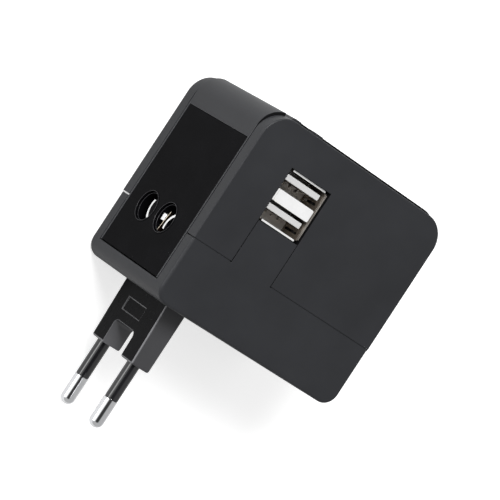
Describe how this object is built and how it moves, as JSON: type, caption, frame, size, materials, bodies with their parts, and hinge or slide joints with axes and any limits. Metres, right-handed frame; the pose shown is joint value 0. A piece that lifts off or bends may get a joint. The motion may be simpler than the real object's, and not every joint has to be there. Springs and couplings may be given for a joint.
{
  "type": "travel adapter",
  "caption": "Nested travel plug adapter: a core with charger ports and side sockets, in a round-pin plug module below and a sliding socket cover above.",
  "frame": {"origin": "under the middle of the whole adapter, pins included, on the plane of the back face it lies on", "axes": "+Y from the plug pins' tips to the roof, along the longest extent; +Z from the back face to the front face with the charger ports; +X from the label side to the far side"},
  "size_m": [0.0664, 0.0964, 0.0429],
  "materials": {
    "shell_plastic": "satin moulded, dark grey",
    "gloss_black": "glossy black",
    "nickel": "nickel plated",
    "brass": "bright",
    "port_plastic": "satin grey",
    "usb_steel": "satin",
    "screw_steel": "zinc plated",
    "white_plastic": "fine matte",
    "red_plastic": "satin",
    "board": "solder mask",
    "ferrite": "dark grey",
    "winding_tape": "taped",
    "copper": "enamelled wire",
    "capacitor_sleeve": "shrink sleeve",
    "ceramic": "ceramic"
  },
  "bodies": {
    "core": {"core_housing": "shell_plastic", "core_base": "shell_plastic", "base_screws": "screw_steel", "label_panel": "gloss_black", "side_socket_well": "gloss_black", "side_contact_back": "nickel", "side_contact_front": "nickel", "side_link_strip": "brass", "side_link_lug": "nickel", "socket_face": "gloss_black", "contact_carrier": "white_plastic", "line_contact": "brass", "neutral_contact": "brass", "line_bus_bar": "brass", "neutral_bus_bar": "brass", "line_receptacle": "brass", "neutral_receptacle": "brass", "circuit_board": "board", "usb_shell": "usb_steel", "usb_insulator": "port_plastic", "usb_upper_tongue": "white_plastic", "usb_lower_tongue": "white_plastic", "usb_contacts": "brass", "transformer_core": "ferrite", "transformer_winding": "winding_tape", "input_capacitors": "capacitor_sleeve", "output_capacitor": "capacitor_sleeve", "filter_choke": "copper", "rectifier": "gloss_black", "controller_chip": "gloss_black", "fuse_tube": "ceramic", "fuse_caps": "nickel", "fuse_clips": "brass"},
    "plug_module": {"cradle_shell": "shell_plastic", "plug_head": "gloss_black", "line_pin": "nickel", "neutral_pin": "nickel", "line_pin_sleeve": "gloss_black", "neutral_pin_sleeve": "gloss_black", "line_tab": "brass", "neutral_tab": "brass", "pin_clamp": "gloss_black", "clamp_screws": "screw_steel"},
    "top_cover": {"cover_shell": "shell_plastic"},
    "shutter": {"shutter": "red_plastic"}
  },
  "joints": [
    {"name": "plug_module_slide", "type": "slide", "parent": "core", "child": "plug_module", "axis": [0, -1, 0], "range_m": [0, 0.03]},
    {"name": "top_cover_slide", "type": "slide", "parent": "core", "child": "top_cover", "axis": [0, 1, 0], "range_m": [0, 0.041]},
    {"name": "shutter_slide", "type": "slide", "parent": "core", "child": "shutter", "axis": [1, 0, 0], "range_m": [0, 0.006], "stiffness_N_per_m": 60, "springref_m": -0.002}
  ]
}
